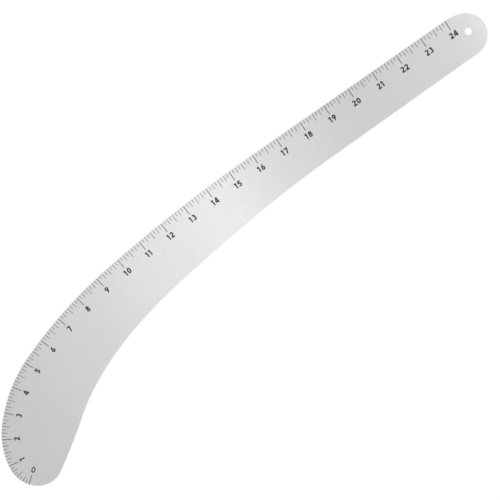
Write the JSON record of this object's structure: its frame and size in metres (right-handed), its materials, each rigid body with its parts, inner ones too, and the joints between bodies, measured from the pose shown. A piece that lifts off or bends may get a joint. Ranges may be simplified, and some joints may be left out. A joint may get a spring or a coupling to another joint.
{
  "type": "vary form curve ruler",
  "caption": "Flat aluminium curved ruler for drawing seams: straight at the hanging end, hooked at the other, with a scale along its outer edge.",
  "frame": {"origin": "on the back face, in the middle of the outline's box", "axes": "+Z out of the scale face, +X along the straight stretch towards the hang hole, +Y out of the graduated edge there"},
  "size_m": [0.5746, 0.1398, 0.0016],
  "materials": {
    "satin_aluminium": "satin, finely brushed along the blade",
    "black_enamel": "satin baked enamel in the marks and numerals"
  },
  "bodies": {
    "root": {"blade": "satin_aluminium"}
  },
  "joints": []
}
